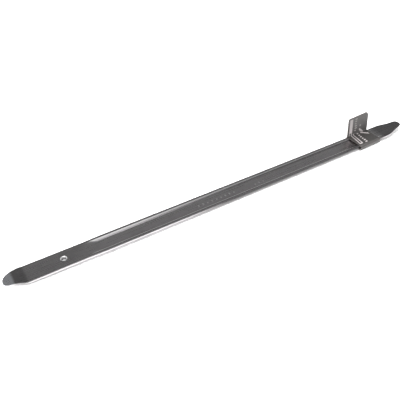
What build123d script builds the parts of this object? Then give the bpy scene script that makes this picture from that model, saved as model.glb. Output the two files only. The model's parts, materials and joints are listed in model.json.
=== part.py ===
"""Forged steel tyre lever, lying flat, with its printed card label wrapped round the shank.

Millimetres, +Z up. The lever runs along X with the spoon end at -X and the tongue at +X. The origin
is the middle of the lever's length, on the plane that the label and the lever lie on.
"""

from build123d import *
import math
import os

os.makedirs("parts", exist_ok=True)

# Lever: one steel forging, pressed between two dies that meet at half its height
bar_length = 600.0
shank_height = 6.0
shank_width = 27.6
blade_inset = 1.2
tongue_flare = 0.4
edge_round = 0.7

# Spoon end: a thin lip, a low crest that stops the tyre bead, and a flat blade that thins towards it
lip_thickness = 1.6
crest_station = 11.5
crest_rise = 2.1
crest_thickness = 2.8
spoon_length = 28.0
blade_thickness = 3.8
blade_length = 93.0
lip_station = 4.0
lip_inset = 5.7
shoulder_station = 16.0
shoulder_inset = 1.6

# Tongue end: the tip narrows and lifts off the floor
tongue_taper_length = 44.0
tongue_shoulder = 27.0
tongue_shoulder_inset = 1.2
tongue_nose = 12.0
tongue_nose_inset = 5.6
tongue_rise = 3.6
tongue_tip_thickness = 4.0

# Sunk panel in each face of the shank, between two rims
tongue_length = 48.0
panel_depth = 1.5
rim_width = 3.6
panel_wall_run = 3.4
panel_end_run = 12.0
panel_corner_share = 0.4
panel_floor_round = 1.2
width_change_run = 20.0

# Hanging hole through the blade
hole_station = 67.0
hole_diameter = 6.0
hole_chamfer = 0.8

# Label: one strip of printed card round the shank, its two ends glued together as a standing flag
card_thickness = 0.35
card_gap = 0.25
label_length = 40.0
label_station = 506.0
label_front_slack = 2.4
label_front_corner = 2.2
label_rear_corner = 1.2
flag_left_height = 28.0
flag_right_height = 30.0
flag_lean = 8.0
flag_left_corner = 2.5
flag_right_corner = 4.0
flag_crease_gap = 0.15

blade_width = shank_width - blade_inset
tongue_width = shank_width + tongue_flare
panel_width = shank_width - 2 * rim_width
panel_floor_width = panel_width - 2 * panel_wall_run
half_length = bar_length / 2
under_z = card_thickness + card_gap
top_z = under_z + shank_height
parting_z = under_z + shank_height / 2


def along(station):
    """X of a distance measured from the spoon end's tip."""
    return station - half_length


# Side shape of the forging, as thick as the lever is at each place
tongue_start = bar_length - tongue_taper_length
with BuildPart() as side_blank:
    with BuildSketch(Plane.XZ) as side_shape:
        with BuildLine():
            lip_top = (along(0), top_z)
            lip_bottom = (along(0), top_z - lip_thickness)
            crest_top = (along(crest_station), top_z + crest_rise)
            crest_bottom = (along(crest_station), top_z + crest_rise - crest_thickness)
            blade_top = (along(spoon_length), top_z)
            blade_bottom = (along(spoon_length), top_z - blade_thickness)
            shank_bottom = (along(blade_length + width_change_run), under_z)
            nose_top = (along(bar_length), top_z + tongue_rise)
            nose_bottom = (along(bar_length), top_z + tongue_rise - tongue_tip_thickness)
            tongue_top = (along(tongue_start), top_z)
            tongue_bottom = (along(tongue_start), under_z)
            Line(lip_bottom, lip_top)
            Spline(lip_top, crest_top, blade_top, tangents=[(1, 0.3), (1, 0)])
            Line(blade_top, tongue_top)
            TangentArc(tongue_top, nose_top, tangent=(1, 0))
            Line(nose_top, nose_bottom)
            TangentArc(tongue_bottom, nose_bottom, tangent=(1, 0))
            Line(tongue_bottom, shank_bottom)
            Line(shank_bottom, blade_bottom)
            Spline(blade_bottom, crest_bottom, lip_bottom, tangents=[(-1, 0.05), (-1, -0.15)])
        make_face()
    extrude(amount=tongue_width, both=True)

# Outline of the forging seen from above
shank_start = blade_length + width_change_run
shank_end = bar_length - tongue_length
with BuildPart() as plan_blank:
    with BuildSketch() as plan_shape:
        with BuildLine() as rear_outline:
            Spline(
                (along(0), 0),
                (along(lip_station), blade_width / 2 - lip_inset),
                (along(shoulder_station), blade_width / 2 - shoulder_inset),
                (along(spoon_length), blade_width / 2),
                tangents=[(0, 1), (1, 0)],
            )
            Line((along(spoon_length), blade_width / 2), (along(blade_length), blade_width / 2))
            Spline(
                (along(blade_length), blade_width / 2),
                (along(shank_start), shank_width / 2),
                tangents=[(1, 0), (1, 0)],
            )
            Line((along(shank_start), shank_width / 2), (along(shank_end), shank_width / 2))
            Spline(
                (along(shank_end), shank_width / 2),
                (along(tongue_start), tongue_width / 2),
                tangents=[(1, 0), (1, 0)],
            )
            Spline(
                (along(tongue_start), tongue_width / 2),
                (along(bar_length - tongue_shoulder), tongue_width / 2 - tongue_shoulder_inset),
                (along(bar_length - tongue_nose), tongue_width / 2 - tongue_nose_inset),
                (along(bar_length), 0),
                tangents=[(1, 0), (0, -1)],
            )
            mirror(about=Plane.XZ)
        make_face()
    extrude(amount=top_z + crest_rise + tongue_rise)

# Hollow of the panel, shaped as the cut it leaves: sloping walls and a longer slope at each end
panel_start = blade_length
panel_end = bar_length - tongue_length
panel_middle = (along(panel_start) + along(panel_end)) / 2
with BuildPart() as panel_cut:
    with BuildSketch(Plane.XY.offset(top_z).move(Location((panel_middle, 0, 0)))):
        RectangleRounded(panel_end - panel_start, panel_width, panel_width * panel_corner_share)
    with BuildSketch(Plane.XY.offset(top_z - panel_depth).move(Location((panel_middle, 0, 0)))):
        RectangleRounded(
            panel_end - panel_start - 2 * panel_end_run,
            panel_floor_width,
            panel_floor_width * panel_corner_share,
        )
    loft(ruled=True)
    fillet(panel_cut.faces().sort_by(Axis.Z)[0].edges(), panel_floor_round)

# Lever: the two blanks' common shape, its edges rounded, a panel sunk in each face, and the hanging hole
with BuildPart() as lever_bar:
    add(side_blank.part)
    add(plan_blank.part, mode=Mode.INTERSECT)
    side_faces = lever_bar.faces().filter_by(lambda face: abs(face.normal_at().Z) < 0.001)
    rims_and_ends = side_faces.edges().filter_by(lambda edge: abs(edge.tangent_at().Z) < 0.9)
    fillet(rims_and_ends, edge_round)
    add(panel_cut.part, mode=Mode.SUBTRACT)
    add(panel_cut.part.mirror(Plane.XY.offset(parting_z)), mode=Mode.SUBTRACT)
    with Locations((along(hole_station), 0, top_z)):
        Hole(hole_diameter / 2)
    bores = lever_bar.faces().filter_by(GeomType.CYLINDER)
    hole_wall = bores.filter_by(lambda face: abs(face.radius - hole_diameter / 2) < 0.001)
    hole_mouths = hole_wall.edges().filter_by(lambda edge: abs(edge.tangent_at().Z) < 0.9)
    chamfer(hole_mouths, hole_chamfer)
lever_bar.part.label = "lever_bar"
export_step(lever_bar.part, "parts/lever_bar.step")

# Label's loop: a flat card tube round the shank, close at the rear and slack at the front
label_middle = along(label_station + label_length / 2)
loop_front = -(shank_width / 2 + card_gap + label_front_slack)
loop_rear = tongue_width / 2 + card_gap
loop_low = under_z - card_gap
loop_high = top_z + card_gap


def loop_outline(growth):
    """The loop's inside outline seen along the lever, grown outwards by the given amount."""
    with BuildSketch() as outline:
        with Locations(((loop_front + loop_rear) / 2, (loop_low + loop_high) / 2)):
            Rectangle(loop_rear - loop_front + 2 * growth, loop_high - loop_low + 2 * growth)
        fillet(outline.vertices().group_by(Axis.X)[0], label_front_corner + growth)
        fillet(outline.vertices().group_by(Axis.X)[-1], label_rear_corner + growth)
    return outline.sketch


with BuildPart() as label_loop:
    with BuildSketch(Plane.YZ.offset(label_middle)):
        add(loop_outline(card_thickness))
        add(loop_outline(0), mode=Mode.SUBTRACT)
    extrude(amount=label_length / 2, both=True)
label_loop.part.label = "label_loop"
export_step(label_loop.part, "parts/label_loop.step")

# Label's flag: the strip's two ends glued back to back, standing on the crease at the loop's rear edge
crease_y = loop_rear - label_rear_corner
crease_z = loop_high + 2 * card_thickness + flag_crease_gap
lean = math.radians(flag_lean)
flag_plane = Plane(
    origin=(label_middle, crease_y, crease_z),
    x_dir=(1, 0, 0),
    z_dir=(0, -math.cos(lean), math.sin(lean)),
)

with BuildSketch() as flag_outline:
    with BuildLine():
        Polyline(
            (-label_length / 2, 0),
            (label_length / 2, 0),
            (label_length / 2, flag_right_height),
            (-label_length / 2, flag_left_height),
            close=True,
        )
    make_face()
    left_top = flag_outline.vertices().group_by(Axis.X)[0].sort_by(Axis.Y)[-1]
    fillet(left_top, flag_left_corner)
    right_top = flag_outline.vertices().group_by(Axis.X)[-1].sort_by(Axis.Y)[-1]
    fillet(right_top, flag_right_corner)

with BuildPart() as flag_front_leaf:
    with BuildSketch(flag_plane):
        add(flag_outline.sketch)
    extrude(amount=card_thickness)
flag_front_leaf.part.label = "flag_front_leaf"
export_step(flag_front_leaf.part, "parts/flag_front_leaf.step")

with BuildPart() as flag_back_leaf:
    with BuildSketch(flag_plane):
        add(flag_outline.sketch)
    extrude(amount=-card_thickness)
flag_back_leaf.part.label = "flag_back_leaf"
export_step(flag_back_leaf.part, "parts/flag_back_leaf.step")
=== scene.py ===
"""Forged steel tyre lever with its card label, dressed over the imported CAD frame. Metres, +Z up."""

import json
import math

import bpy
import numpy as np
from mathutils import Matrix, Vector


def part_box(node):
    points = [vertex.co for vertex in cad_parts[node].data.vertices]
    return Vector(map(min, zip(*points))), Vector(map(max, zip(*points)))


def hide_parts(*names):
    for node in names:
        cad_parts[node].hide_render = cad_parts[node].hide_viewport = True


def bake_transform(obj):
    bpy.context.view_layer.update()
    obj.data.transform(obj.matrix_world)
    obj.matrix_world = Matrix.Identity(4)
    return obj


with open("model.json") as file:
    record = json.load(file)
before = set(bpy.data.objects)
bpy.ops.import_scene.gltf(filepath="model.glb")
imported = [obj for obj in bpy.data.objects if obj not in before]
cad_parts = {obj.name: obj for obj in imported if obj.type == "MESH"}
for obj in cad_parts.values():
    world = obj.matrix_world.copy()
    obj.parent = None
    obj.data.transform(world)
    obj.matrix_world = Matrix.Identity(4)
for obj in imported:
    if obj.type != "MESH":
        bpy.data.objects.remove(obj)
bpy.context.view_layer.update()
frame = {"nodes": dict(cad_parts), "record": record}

# ---------------------------------------------------------------------------------------------------
# Lever: one forging of spring steel, hot pressed between two dies, trimmed along the parting line,
# then satin polished along its length. The CAD mesh is kept; all of its looks come from the material,
# painted shade and painted highlights among them.
# ---------------------------------------------------------------------------------------------------
shank_thick = 0.006
shank_half_width = 0.0138
rim_width = 0.0036
hole_station = 0.067
chamfer_reach = (0.0040, 0.0042)

# Places along the lever, from the spoon's tip: where each change starts and where it is complete.
# The lip's span carries a painted highlight; the spoon back's, rear wall's, sides' and tongue's carry
# painted shade.
lip_ends = (0.0090, 0.0125)
spoon_back_shade_span = (0.010, 0.024)
blade_ends = (0.085, 0.110)
panel_span = (0.100, 0.552)
rear_wall_shade_span = (0.12, 0.30)
side_darkens = (0.18, 0.30)
side_lightens = (0.540, 0.560)
tongue_darkens = (0.545, 0.562)

# Two rows of plain upright strokes punched into the panel: start, end, foot and head of each row
stroke_rows = ((0.239, 0.298, -0.0032, 0.0004), (0.324, 0.345, -0.0042, -0.0014))
stroke_pitch = 0.0066
shortest_stroke = 0.55

steel_colour = (0.505, 0.492, 0.500, 1.0)
# The lip's colour is a painted highlight
lip_highlight_colour = (0.74, 0.76, 0.80, 1.0)


def new_material(name):
    """An empty material, its node tree and its Principled shader."""
    material = bpy.data.materials.new(name)
    material.use_nodes = True
    return material, material.node_tree, material.node_tree.nodes["Principled BSDF"]


def feed(tree, socket, value):
    """Links a socket into another, or sets it to a constant."""
    if isinstance(value, bpy.types.NodeSocket):
        tree.links.new(value, socket)
    else:
        socket.default_value = value


def place(tree, kind, inputs=None, **properties):
    """Adds a node, sets its properties, then feeds its inputs."""
    made = tree.nodes.new(kind)
    for name, value in properties.items():
        setattr(made, name, value)
    for name, value in (inputs or {}).items():
        feed(tree, made.inputs[name], value)
    return made


def calc(tree, operation, *values):
    """The result of a maths node."""
    return place(tree, "ShaderNodeMath", dict(enumerate(values)), operation=operation).outputs[0]


def times(tree, *values):
    """The product of all the values."""
    product = values[0]
    for value in values[1:]:
        product = calc(tree, "MULTIPLY", product, value)
    return product


def less(tree, value):
    """One less the value."""
    return calc(tree, "SUBTRACT", 1.0, value)


def ramp(tree, value, low, high, at_low=0.0, at_high=1.0):
    """A smooth step from at_low to at_high while value goes from low to high."""
    inputs = {"Value": value, "From Min": low, "From Max": high, "To Min": at_low, "To Max": at_high}
    return place(tree, "ShaderNodeMapRange", inputs, interpolation_type="SMOOTHSTEP").outputs[0]


def band(tree, value, low, high, soft):
    """One between low and high, nought outside, with soft edges."""
    rise = ramp(tree, value, low - soft, low + soft)
    fall = ramp(tree, value, high - soft, high + soft, 1.0, 0.0)
    return times(tree, rise, fall)


def share(tree, mask, level):
    """A factor that is the given level where the mask is one, and one where it is nought."""
    return ramp(tree, mask, 0.0, 1.0, 1.0, level)


def blend_colour(tree, factor, first, second):
    """A colour mix; first and second are colours or sockets."""
    mixer = place(tree, "ShaderNodeMix", data_type="RGBA")
    feed(tree, mixer.inputs[0], factor)
    feed(tree, mixer.inputs[6], first)
    feed(tree, mixer.inputs[7], second)
    return mixer.outputs[2]


def noise(tree, vector, scale, detail, roughness):
    """Noise from nought to one."""
    inputs = {"Vector": vector, "Scale": scale, "Detail": detail, "Roughness": roughness}
    return place(tree, "ShaderNodeTexNoise", inputs).outputs[0]


def chance(tree, cell):
    """A random value for each whole number."""
    inputs = {"W": calc(tree, "FLOOR", cell)}
    return place(tree, "ShaderNodeTexWhiteNoise", inputs, noise_dimensions="1D").outputs[0]


def stretch(tree, vector, scale):
    """The vector, scaled along each axis."""
    return place(tree, "ShaderNodeMapping", {"Vector": vector, "Scale": scale}).outputs[0]


def grey(level):
    """A grey."""
    return (level, level, level, 1.0)


def add_bump(tree, shader, height, strength, distance):
    """Relief on the shader's surface."""
    inputs = {"Height": height, "Strength": strength, "Distance": distance}
    feed(tree, shader.inputs["Normal"], place(tree, "ShaderNodeBump", inputs).outputs[0])


lever = frame["nodes"]["lever_bar"]
lever_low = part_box("lever_bar")[0]
spoon_tip = lever_low[0]
parting_z = lever_low[2] + shank_thick / 2
panel_edge = shank_half_width - rim_width

steel, tree, shader = new_material("forged_steel")
where = place(tree, "ShaderNodeTexCoord").outputs
place_parts = place(tree, "ShaderNodeSeparateXYZ", {0: where["Object"]}).outputs
facing_parts = place(tree, "ShaderNodeSeparateXYZ", {0: where["Normal"]}).outputs
station = calc(tree, "SUBTRACT", place_parts[0], spoon_tip)
across = place_parts[1]
height = place_parts[2]
from_middle = calc(tree, "ABSOLUTE", across)
sideways = calc(tree, "ABSOLUTE", facing_parts[1])
upright = calc(tree, "ABSOLUTE", facing_parts[2])

# Long polishing grain, finer scratches, broad mottling of the forging skin, and small pits
grain = noise(tree, stretch(tree, where["Object"], (14.0, 700.0, 700.0)), 1.0, 8.0, 0.65)
scratches = noise(tree, stretch(tree, where["Object"], (60.0, 2600.0, 2600.0)), 1.0, 4.0, 0.7)
mottle = noise(tree, where["Object"], 55.0, 6.0, 0.6)
pits = ramp(tree, noise(tree, where["Object"], 1400.0, 3.0, 0.6), 0.30, 0.42, 1.0, 0.0)

# Masks for the faces: the trimmed sides, the roundings and the hole's chamfer
side = ramp(tree, sideways, 0.50, 0.80)
rounding = times(tree, band(tree, upright, 0.25, 0.80, 0.12), band(tree, sideways, 0.55, 0.95, 0.1))
hole_inputs = {0: where["Object"], 1: (spoon_tip + hole_station, 0.0, parting_z)}
to_hole = place(tree, "ShaderNodeVectorMath", hole_inputs, operation="SUBTRACT").outputs[0]
hole_parts = place(tree, "ShaderNodeSeparateXYZ", {0: to_hole}).outputs
hole_squares = [times(tree, part, part) for part in hole_parts[:2]]
hole_distance = calc(tree, "SQRT", calc(tree, "ADD", *hole_squares))
near_hole = ramp(tree, hole_distance, *chamfer_reach, 1.0, 0.0)
chamfer_highlight = times(tree, near_hole, band(tree, upright, 0.4, 0.9, 0.1))

# Tone along the lever: the skin's own unevenness, painted shade on the rims, on the panel's rear wall
# (deeper to the right) and on the spoon's back, the lip left lighter as a painted highlight, and the
# blade darker than the shank
tone = times(tree, ramp(tree, mottle, 0.25, 0.75, 0.90, 1.08), ramp(tree, grain, 0.2, 0.8, 0.93, 1.06))
in_panel = band(tree, station, *panel_span, 0.006)
rim = times(tree, ramp(tree, from_middle, panel_edge, panel_edge + 0.0006), in_panel)
rear_wall = times(tree, band(tree, across, panel_edge - 0.0036, panel_edge, 0.0003), in_panel)
rear_wall_painted_shade = times(tree, rear_wall, ramp(tree, station, *rear_wall_shade_span, 0.0, 0.42))
tone = times(
    tree,
    tone,
    share(tree, rim, 0.84),
    less(tree, rear_wall_painted_shade),
    share(tree, band(tree, station, *spoon_back_shade_span, 0.003), 0.62),
    ramp(tree, station, *lip_ends, 1.0, 0.84),
    ramp(tree, station, *blade_ends, 1.0, 1.19),
)

# The tongue's faces get painted shade; its sides do not
tongue_painted_shade = ramp(tree, station, *tongue_darkens)
tone = times(tree, tone, less(tree, times(tree, tongue_painted_shade, ramp(tree, side, 0.0, 1.0, 0.48, 0.0))))

# Painted shade on the shank's sides, growing from 0.18 m along and weaker again past the panel's end:
# dark above the trimmed flash and lighter below it
side_painted_shade = times(tree, ramp(tree, station, *side_darkens), ramp(tree, station, *side_lightens, 1.0, 0.30))
side_level = ramp(tree, height, parting_z - 0.0016, parting_z - 0.0004, 0.80, 0.14)
tone = times(tree, tone, less(tree, times(tree, side, side_painted_shade, less(tree, side_level))))
skin = blend_colour(tree, tone, grey(0.0), steel_colour)

# Painted highlights: on the roundings, weaker where the sides get painted shade; near white on the
# hole's chamfer; light blue grey on the faces of the spoon's lip
rounding_highlight = times(tree, rounding, ramp(tree, side_painted_shade, 0.0, 1.0, 0.35, 0.05))
skin = blend_colour(tree, rounding_highlight, skin, grey(0.72))
skin = blend_colour(tree, chamfer_highlight, skin, grey(0.97))
lip_highlight = times(tree, ramp(tree, station, *lip_ends, 0.75, 0.0), share(tree, side, 0.0))
skin = blend_colour(tree, lip_highlight, skin, lip_highlight_colour)

# Painted highlight along the panel's upper edges, the front one stronger
panel_edge_highlight = band(tree, from_middle, panel_edge - 0.0016, panel_edge + 0.0001, 0.0003)
panel_edge_highlight = times(tree, panel_edge_highlight, in_panel, ramp(tree, across, -0.001, 0.001, 1.0, 0.55))
skin = blend_colour(tree, panel_edge_highlight, skin, grey(0.98))

# The trimmed flash leaves a thin raised line half way up each side
parting = times(tree, band(tree, height, parting_z - 0.0006, parting_z + 0.0006, 0.0002), side)
skin = blend_colour(tree, times(tree, parting, 0.85), skin, grey(0.16))

# Punched strokes, each of its own height
stroke_cell = calc(tree, "DIVIDE", station, stroke_pitch)
stroke_chance = chance(tree, stroke_cell)
stroke = band(tree, calc(tree, "FRACT", stroke_cell), 0.30, 0.62, 0.05)
stamps = 0.0
for row_start, row_end, row_foot, row_head in stroke_rows:
    lowest_head = row_foot + shortest_stroke * (row_head - row_foot)
    stroke_head = ramp(tree, stroke_chance, 0.0, 1.0, lowest_head, row_head)
    above_foot = calc(tree, "GREATER_THAN", across, row_foot)
    below_head = calc(tree, "LESS_THAN", across, stroke_head)
    in_row = band(tree, station, row_start, row_end, 0.0002)
    stamps = calc(tree, "ADD", stamps, times(tree, above_foot, below_head, in_row, stroke))
stamps = times(tree, stamps, ramp(tree, facing_parts[2], 0.9, 0.98))
skin = blend_colour(tree, times(tree, stamps, 0.75), skin, grey(0.92))
feed(tree, shader.inputs["Base Color"], skin)
# The hole's chamfer is made partly non-metallic, so that its painted highlight is lit by the lamps
feed(tree, shader.inputs["Metallic"], share(tree, chamfer_highlight, 0.78))

satin = ramp(tree, grain, 0.2, 0.8, 0.25, 0.33)
satin = calc(tree, "SUBTRACT", satin, times(tree, rounding, 0.08))
satin = calc(tree, "ADD", satin, times(tree, pits, 0.10))
feed(tree, shader.inputs["Roughness"], satin)

relief = times(tree, grain, 0.5)
for mark, depth in ((scratches, 0.25), (pits, -0.35), (parting, 1.5), (stamps, -3.0)):
    relief = calc(tree, "ADD", relief, times(tree, mark, depth))
add_bump(tree, shader, relief, 0.35, 0.00012)

lever.data.materials.clear()
lever.data.materials.append(steel)

# ---------------------------------------------------------------------------------------------------
# Label: one strip of black printed card, wrapped loosely round the shank, its two ends glued back to
# back as the flag. It stands for the loop and both leaves, and bends at the flag's crease.
# ---------------------------------------------------------------------------------------------------
card_thick = 0.00035
flag_lean = math.radians(8.0)
flag_left_height = 0.028
flag_right_height = 0.030
flag_left_corner = (0.0025, 0.0025)
flag_right_corner = (0.0060, 0.0078)
loop_front_corner = 0.0022 + card_thick / 2
loop_rear_corner = 0.0012 + card_thick / 2
rear_wall_straight = 0.0025
rear_wall_pull = 0.0030
foot_pull = 0.0006
crease_round = 0.0009
glue_gap = 0.00002

# The hand-wrapped loop is tighter at its right end: how far its front wall is drawn in at each end,
# and how far in front of the crease the drawing in starts
left_tuck = 0.0002
right_tuck = 0.0015
tuck_offset = 0.003

corner_steps = 8
wall_steps = 4
leaf_steps = 26
flat_steps = 30
column_count = 34

loop_low, loop_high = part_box("label_loop")
joints = frame["record"]["behaviour"]["joints"]
crease = next(joint for joint in joints if joint["name"] == "flag_fold")["pos_m"]
left_x, right_x = loop_low[0], loop_high[0]
label_length = right_x - left_x
mid_front = loop_low[1] + card_thick / 2
mid_rear = loop_high[1] - card_thick / 2
mid_low = loop_low[2] + card_thick / 2
mid_high = loop_high[2] - card_thick / 2


def bezier(points, steps):
    """Points along a curve with these control points, without the first."""
    made = []
    for step in range(1, steps + 1):
        layer = [np.array(point, float) for point in points]
        while len(layer) > 1:
            layer = [a + (b - a) * step / steps for a, b in zip(layer, layer[1:])]
        made.append(layer[0])
    return made


def quarter(centre, radius, start, steps):
    """A quarter turn, anticlockwise seen with +Y right and +Z up, without its first point."""
    angles = [start + math.pi / 2 * step / steps for step in range(1, steps + 1)]
    return [np.array((centre[0] + radius * math.cos(a), centre[1] + radius * math.sin(a))) for a in angles]


# The strip's middle line seen from the end: from the front leaf's foot, round the loop, to the back
# leaf's foot
leaf_up = np.array((math.sin(flag_lean), math.cos(flag_lean)))
leaf_out = np.array((-math.cos(flag_lean), math.sin(flag_lean)))
crease_at = np.array(crease[1:])
front_foot = crease_at + leaf_out * (card_thick / 2 + glue_gap) + leaf_up * crease_round
back_foot = crease_at - leaf_out * (card_thick / 2 + glue_gap) + leaf_up * crease_round
front_turn = (front_foot[0] - 0.0001, mid_high)
top_start = (front_turn[0] - crease_round, mid_high)
high_corner = (mid_front + loop_front_corner, mid_high - loop_front_corner)
low_corner = (mid_front + loop_front_corner, mid_low + loop_front_corner)
rear_corner = (mid_rear - loop_rear_corner, mid_low + loop_rear_corner)
loop_line = [front_foot]
loop_line += bezier((front_foot, front_turn, top_start), corner_steps)
loop_line += bezier((top_start, (high_corner[0], mid_high)), flat_steps)
loop_line += quarter(high_corner, loop_front_corner, math.pi / 2, corner_steps)
loop_line += bezier((loop_line[-1], (mid_front, low_corner[1])), wall_steps)
loop_line += quarter(low_corner, loop_front_corner, math.pi, corner_steps)
loop_line += bezier((loop_line[-1], (rear_corner[0], mid_low)), flat_steps)
loop_line += quarter(rear_corner, loop_rear_corner, 1.5 * math.pi, corner_steps)
rear_bend = loop_line[-1] + np.array((0.0, rear_wall_straight))
rear_handle = rear_bend + np.array((0.0, rear_wall_pull))
foot_handle = back_foot - leaf_up * foot_pull
loop_line += bezier((loop_line[-1], rear_bend), wall_steps)
loop_line += bezier((rear_bend, rear_handle, foot_handle, back_foot), 2 * corner_steps)

# Columns across the strip, closer together where the flag's top corners are rounded
turns = [1 - math.cos(math.pi / 2 * step / corner_steps) for step in range(corner_steps)]
left_turns = [flag_left_corner[0] * turn for turn in turns]
right_turns = [label_length - flag_right_corner[0] * turn for turn in turns]
middle_columns = np.linspace(flag_left_corner[0], label_length - flag_right_corner[0], column_count)
columns = sorted([*left_turns, *middle_columns, *right_turns])


def flag_height(run):
    """Height of the flag's outline at a distance from its left edge."""
    edge = flag_left_height + (flag_right_height - flag_left_height) * run / label_length
    corners = ((flag_left_corner, run), (flag_right_corner, label_length - run))
    for (corner_width, corner_drop), inset in corners:
        if inset < corner_width:
            edge -= corner_drop * (1 - math.sqrt(max(0.0, 1 - (1 - inset / corner_width) ** 2)))
    return edge


# One row of points for each column: down the front leaf, along the loop, up the back leaf
tuck_start = crease_at[0] - tuck_offset
forward = [max(0.0, (tuck_start - point[0]) / (tuck_start - mid_front)) for point in loop_line]
outer, inner, travel = [], [], []
for run in columns:
    leaf_length = flag_height(run) - crease_round
    tuck = left_tuck + (right_tuck - left_tuck) * run / label_length
    tucked = [point + np.array((tuck * part, 0.0)) for point, part in zip(loop_line, forward)]
    front = [loop_line[0] + leaf_up * leaf_length * (1 - k / leaf_steps) for k in range(leaf_steps)]
    back = [loop_line[-1] + leaf_up * leaf_length * (k + 1) / leaf_steps for k in range(leaf_steps)]
    line = np.array([*front, *tucked, *back])
    along_line = np.gradient(line, axis=0)
    along_line /= np.linalg.norm(along_line, axis=1)[:, None]
    outward = np.stack((along_line[:, 1], -along_line[:, 0]), axis=1)
    lengths = np.concatenate(([0.0], np.cumsum(np.linalg.norm(np.diff(line, axis=0), axis=1))))
    travel.append(lengths - lengths[leaf_steps])
    outer.append(line + outward * card_thick / 2)
    inner.append(line - outward * card_thick / 2)
rows = len(outer[0])
verts = []
for side_rows in (outer, inner):
    for run, points in zip(columns, side_rows):
        verts += [(left_x + run, point[0], point[1]) for point in points]
inner_start = len(columns) * rows


def corner_of(spot, inside):
    """Index of the strip's point at a column and row."""
    column, row = spot
    return column * rows + row + (inner_start if inside else 0)


# The strip's map holds the printed face at the left, the bare face beside it, and the cut edges at
# the right. Its own order of materials is printed face, bare face, cut edges.
uv_length = 0.135
uv_start = 0.035
bare_shift = 0.34
edge_shelf = 0.72
shelf_pitch = 0.02
shelf_width = 0.01
faces, uvs, slots = [], [], []


def add_face(corners, spots, slot):
    """A quad, its map places and its material slot."""
    faces.append(corners)
    uvs.extend(spots)
    slots.append(slot)


for column in range(len(columns) - 1):
    for row in range(rows - 1):
        grid = ((column, row), (column, row + 1), (column + 1, row + 1), (column + 1, row))
        spots = [(columns[c] / uv_length, (travel[c][r] + uv_start) / uv_length) for c, r in grid]
        add_face([corner_of(spot, False) for spot in grid], spots, 0)
        plain = [(u + bare_shift, v) for u, v in reversed(spots)]
        add_face([corner_of(spot, True) for spot in reversed(grid)], plain, 1)
rims = [
    [(0, row) for row in range(rows)],
    [(len(columns) - 1, row) for row in reversed(range(rows))],
    [(column, 0) for column in reversed(range(len(columns)))],
    [(column, rows - 1) for column in range(len(columns))],
]
for rim_number, rim_line in enumerate(rims):
    across_strip = rim_number > 1
    low_shelf = edge_shelf + shelf_pitch * rim_number
    high_shelf = low_shelf + shelf_width
    for ends in zip(rim_line, rim_line[1:]):
        runs = [(columns[c] if across_strip else travel[c][r] + uv_start) / uv_length for c, r in ends]
        quad = [corner_of(end, True) for end in ends] + [corner_of(end, False) for end in reversed(ends)]
        spots = [(low_shelf, runs[0]), (low_shelf, runs[1]), (high_shelf, runs[1]), (high_shelf, runs[0])]
        add_face(quad, spots, 2)

label_mesh = bpy.data.meshes.new("card_label")
label_mesh.from_pydata(verts, [], faces)
label_map = label_mesh.uv_layers.new(name="strip")
label_map.data.foreach_set("uv", np.array(uvs, np.float32).ravel())
label_mesh.polygons.foreach_set("material_index", slots)
label_mesh.polygons.foreach_set("use_smooth", [True] * len(faces))
label_mesh.update()
label = bpy.data.objects.new("card_label", label_mesh)
bpy.context.scene.collection.objects.link(label)
label_mesh.set_sharp_from_angle(angle=math.radians(40.0))

# Card fibres, shared by the printed face, the bare card and the cut edges
fibre_group = bpy.data.node_groups.new("card_fibres", "ShaderNodeTree")
fibre_group.interface.new_socket("Relief", in_out="OUTPUT", socket_type="NodeSocketFloat")
fibre_group.interface.new_socket("Tone", in_out="OUTPUT", socket_type="NodeSocketFloat")
fibre_out = place(fibre_group, "NodeGroupOutput")
fibre_where = place(fibre_group, "ShaderNodeTexCoord")
fibre_fine = noise(fibre_group, fibre_where.outputs["Object"], 2600.0, 5.0, 0.7)
fibre_broad = noise(fibre_group, fibre_where.outputs["Object"], 240.0, 4.0, 0.6)
feed(fibre_group, fibre_out.inputs["Relief"], fibre_fine)
feed(fibre_group, fibre_out.inputs["Tone"], ramp(fibre_group, fibre_broad, 0.25, 0.75, 0.88, 1.12))


def card_material(name, smoothest, roughest, bump_strength, bump_distance):
    """A material of the strip with the fibres' roughness and relief; its colour is fed afterwards."""
    material, tree, shader = new_material(name)
    fibres = place(tree, "ShaderNodeGroup", node_tree=fibre_group)
    roughness = ramp(tree, fibres.outputs["Relief"], 0.2, 0.8, smoothest, roughest)
    feed(tree, shader.inputs["Roughness"], roughness)
    add_bump(tree, shader, fibres.outputs["Relief"], bump_strength, bump_distance)
    label_mesh.materials.append(material)
    return tree, shader, fibres.outputs


# Printed face: black ink, a light band on the flag, two thin lines over the loop, plain strokes and
# two plain slanted dashes. print_x runs from the label's left edge; print_y is nought at the crease,
# positive up the flag and negative forward over the loop.
print_soft = 0.00012
print_slant = 0.165
flag_stroke_pitch = 0.0036
loop_stroke_pitch = 0.0042
shortest_print = 0.65
dash_tilt = 0.75
dash_left = 0.0232
dash_half = 0.0017
black_card = (0.056, 0.053, 0.051, 1.0)
light_print = (0.60, 0.55, 0.55, 1.0)

tree, shader, fibres = card_material("printed_card", 0.42, 0.56, 0.25, 0.00006)
shader.inputs["Specular IOR Level"].default_value = 0.5
strip_map = place(tree, "ShaderNodeUVMap", uv_map="strip").outputs[0]
strip_parts = place(tree, "ShaderNodeSeparateXYZ", {0: strip_map}).outputs
print_x = times(tree, strip_parts[0], uv_length)
print_y = calc(tree, "SUBTRACT", uv_start, times(tree, strip_parts[1], uv_length))
slant = times(tree, calc(tree, "MINIMUM", print_y, 0.0), print_slant)
slanted_x = calc(tree, "SUBTRACT", print_x, slant)


def patch(x_low, x_high, y_low, y_high):
    """A printed rectangle, which slants to the left where it runs over the loop."""
    inside_x = band(tree, slanted_x, x_low, x_high, print_soft)
    return times(tree, inside_x, band(tree, print_y, y_low, y_high, print_soft))


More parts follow.
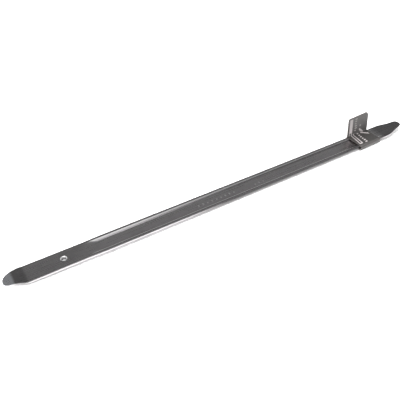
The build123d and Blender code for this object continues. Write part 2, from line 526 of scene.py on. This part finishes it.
def strokes(x_low, x_high, y_low, y_high, pitch):
    """A column of short plain strokes of differing lengths."""
    cell = calc(tree, "DIVIDE", print_y, pitch)
    nearest_end = x_low + shortest_print * (x_high - x_low)
    stroke_end = ramp(tree, chance(tree, cell), 0.0, 1.0, nearest_end, x_high)
    inked = band(tree, calc(tree, "FRACT", cell), 0.25, 0.7, 0.08)
    before_end = calc(tree, "LESS_THAN", slanted_x, stroke_end)
    return times(tree, inked, before_end, patch(x_low, x_high, y_low, y_high))


def dash(x_low, x_high, middle):
    """A slanted dash near the crease."""
    fall = times(tree, calc(tree, "SUBTRACT", print_x, dash_left), dash_tilt)
    dash_line = calc(tree, "ADD", print_y, fall)
    thickness = band(tree, dash_line, middle - dash_half, middle + dash_half, print_soft)
    return times(tree, thickness, band(tree, print_x, x_low, x_high, print_soft))


light_prints = (
    (patch(0.0034, 0.0092, 0.0030, 0.0245), 0.62),
    (patch(0.0034, 0.0046, -0.0008, 0.0240), 0.50),
    (patch(0.0078, 0.0091, -0.0225, 0.0030), 0.58),
    (patch(0.0122, 0.0135, -0.0225, 0.0006), 0.58),
    (patch(0.0078, 0.0135, -0.0239, -0.0225), 0.58),
    (strokes(0.0138, 0.0180, 0.0030, 0.0255, flag_stroke_pitch), 0.42),
    (strokes(0.0192, 0.0234, -0.0262, -0.0010, loop_stroke_pitch), 0.60),
    (patch(0.0236, 0.0262, 0.0092, 0.0122), 0.30),
    (dash(dash_left, 0.0312, 0.0052), 0.50),
    (dash(0.0262, 0.0362, 0.0006), 0.50),
)
ink = 0.0
for mask, strength in light_prints:
    ink = calc(tree, "MAXIMUM", ink, times(tree, mask, strength))

# Painted shade over the loop's top, and painted light on the flag's light print: brightest near the
# crease, fading up the flag
loop_top_painted_shade = share(tree, band(tree, print_y, -0.0265, -0.0010, 0.0015), 0.55)
flag_print_painted_light = ramp(tree, print_y, 0.0, 0.022, 1.0, 0.55)
black_ink = blend_colour(tree, fibres["Tone"], grey(0.0), black_card)
black_ink = blend_colour(tree, loop_top_painted_shade, grey(0.0), black_ink)
light_ink = blend_colour(tree, fibres["Tone"], grey(0.0), light_print)
light_ink = blend_colour(tree, flag_print_painted_light, grey(0.0), light_ink)
card_colour = blend_colour(tree, ink, black_ink, light_ink)

# Ink rubbed off along the fold and the card's edges
from_edge = calc(tree, "MINIMUM", print_x, calc(tree, "SUBTRACT", label_length, print_x))
edge_wear = times(tree, ramp(tree, from_edge, 0.0, 0.0006, 1.0, 0.0), fibres["Relief"])
fold_wear = times(tree, band(tree, print_y, -0.0006, 0.0006, 0.0005), fibres["Relief"])
wear = times(tree, calc(tree, "MAXIMUM", edge_wear, fold_wear), 0.30)
feed(tree, shader.inputs["Base Color"], blend_colour(tree, wear, card_colour, grey(0.35)))

# Bare card: the pale inside of the strip
bare_card = (0.66, 0.64, 0.61, 1.0)
tree, shader, fibres = card_material("bare_card", 0.75, 0.9, 0.3, 0.00008)
feed(tree, shader.inputs["Base Color"], blend_colour(tree, fibres["Tone"], grey(0.0), bare_card))

# Cut edges: the card's core, stained by the ink that bleeds over the cut
edge_dark = (0.045, 0.035, 0.033, 1.0)
edge_light = (0.17, 0.13, 0.13, 1.0)
tree, shader, fibres = card_material("edge_card", 0.7, 0.85, 0.4, 0.00008)
feed(tree, shader.inputs["Base Color"], blend_colour(tree, fibres["Relief"], edge_dark, edge_light))

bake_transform(label)
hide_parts("label_loop", "flag_front_leaf", "flag_back_leaf")

# ---------------------------------------------------------------------------------------------------
# Stage: a plain white floor, three soft lamps that the steel doesn't mirror, and a dim plain room
# that it does mirror, with a soft glow overhead, one at the front and one along the horizon
# ---------------------------------------------------------------------------------------------------
half_floor = 3.0
room_level = 0.26
overhead_aim = (0.12, -0.14, 0.98)
front_aim = (-0.42, -0.62, 0.66)
lamp_aim = Vector((-0.05, 0.0, 0.0))
lamp_sides = (1.3, 1.0)
lamps = (
    ("key", (0.10, 0.55, 1.20), 42.0),
    ("fill", (-0.60, -0.95, 1.20), 32.0),
    ("left", (-1.30, -0.30, 0.35), 14.0),
)

floor_mesh = bpy.data.meshes.new("floor")
floor_turns = ((-1, -1), (1, -1), (1, 1), (-1, 1))
floor_mesh.from_pydata([(half_floor * x, half_floor * y, 0) for x, y in floor_turns], [], [(0, 1, 2, 3)])
floor = bpy.data.objects.new("floor", floor_mesh)
bpy.context.scene.collection.objects.link(floor)
floor_paint, tree, shader = new_material("floor_paint")
shader.inputs["Base Color"].default_value = grey(0.9)
shader.inputs["Roughness"].default_value = 1.0
shader.inputs["Specular IOR Level"].default_value = 0.0
floor_mesh.materials.append(floor_paint)

world = bpy.data.worlds.new("studio")
bpy.context.scene.world = world
world.use_nodes = True
tree = world.node_tree
room = place(tree, "ShaderNodeTexCoord").outputs["Generated"]
room_height = place(tree, "ShaderNodeSeparateXYZ", {0: room}).outputs[2]


def glow(aim, edge, core, level):
    """A soft round glow in a direction; edge and core are cosines of the angle from it."""
    inputs = {0: room, 1: tuple(Vector(aim).normalized())}
    towards = place(tree, "ShaderNodeVectorMath", inputs, operation="DOT_PRODUCT").outputs["Value"]
    return ramp(tree, towards, edge, core, 0.0, level)


overhead_glow = glow(overhead_aim, 0.95, 0.995, 1.3)
front_glow = glow(front_aim, 0.86, 0.98, 1.2)
room_light = ramp(tree, room_height, 0.02, 0.22, 0.20, 0.0)
for part in (overhead_glow, front_glow, room_level):
    room_light = calc(tree, "ADD", room_light, part)
background = tree.nodes["Background"]
background.inputs["Color"].default_value = grey(1.0)
feed(tree, background.inputs["Strength"], room_light)

for lamp_name, lamp_place, lamp_power in lamps:
    lamp_data = bpy.data.lights.new(lamp_name, "AREA")
    lamp_data.shape = "RECTANGLE"
    lamp_data.size, lamp_data.size_y = lamp_sides
    lamp_data.energy = lamp_power
    lamp = bpy.data.objects.new(lamp_name, lamp_data)
    lamp.location = lamp_place
    lamp.rotation_euler = (lamp_aim - lamp.location).to_track_quat("-Z", "Y").to_euler()
    lamp.visible_glossy = False
    bpy.context.scene.collection.objects.link(lamp)

# Camera in front of the lever and to its left, looking down on it
camera_target = Vector((-0.0529, 0.0058, 0.0067))
camera_distance = 0.6265
elevation = math.radians(40.0)
turn = math.radians(31.83)
away = Vector(
    (math.sin(turn) * math.cos(elevation), math.cos(turn) * math.cos(elevation), -math.sin(elevation))
)
camera = bpy.data.cameras.new("camera")
camera.sensor_width = 36
camera.lens = 45
camera_object = bpy.data.objects.new("camera", camera)
camera_object.location = camera_target - camera_distance * away
camera_object.rotation_euler = away.to_track_quat("-Z", "Y").to_euler()
bpy.context.scene.collection.objects.link(camera_object)
bpy.context.scene.camera = camera_object
bpy.context.scene.view_settings.view_transform = "Standard"
